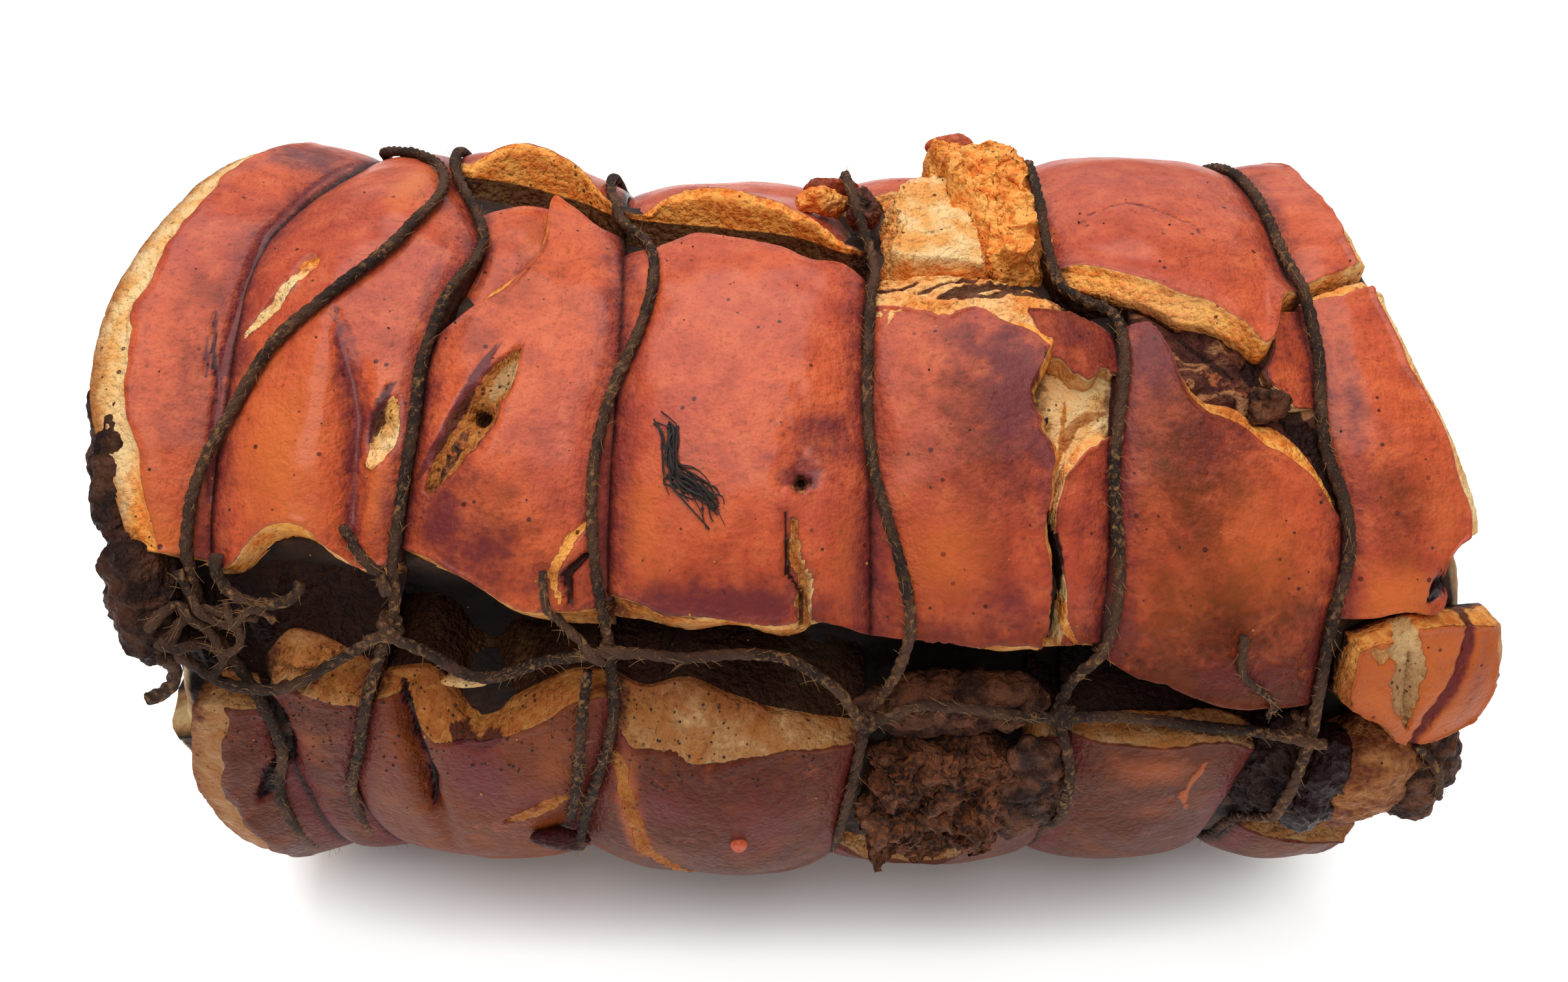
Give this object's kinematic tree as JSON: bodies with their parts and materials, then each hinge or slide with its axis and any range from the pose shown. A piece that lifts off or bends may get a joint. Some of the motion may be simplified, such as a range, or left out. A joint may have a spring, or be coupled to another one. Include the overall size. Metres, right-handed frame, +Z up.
{
  "type": "porchetta",
  "caption": "Whole rolled pork roast tied with kitchen twine, with roasted rind, torn fat and an open seam along its front.",
  "frame": {"origin": "middle of the bounding box's underside, on the floor that the roast lies on", "axes": "+X along the roll, to the right as seen from its open seam; -Y towards the seam; +Z up"},
  "size_m": [0.3233, 0.2025, 0.1964],
  "materials": {
    "roast_rind": "glossy",
    "kitchen_twine": "rough",
    "dry_herbs": "rough"
  },
  "bodies": {
    "root": {"roast": "roast_rind", "twine_loop_1": "kitchen_twine", "twine_loop_2": "kitchen_twine", "twine_loop_3": "kitchen_twine", "twine_loop_4": "kitchen_twine", "twine_loop_5": "kitchen_twine", "twine_loop_6": "kitchen_twine", "twine_lengthwise": "kitchen_twine", "twine_curled_end": "kitchen_twine", "herb_tuft": "dry_herbs"}
  },
  "joints": []
}
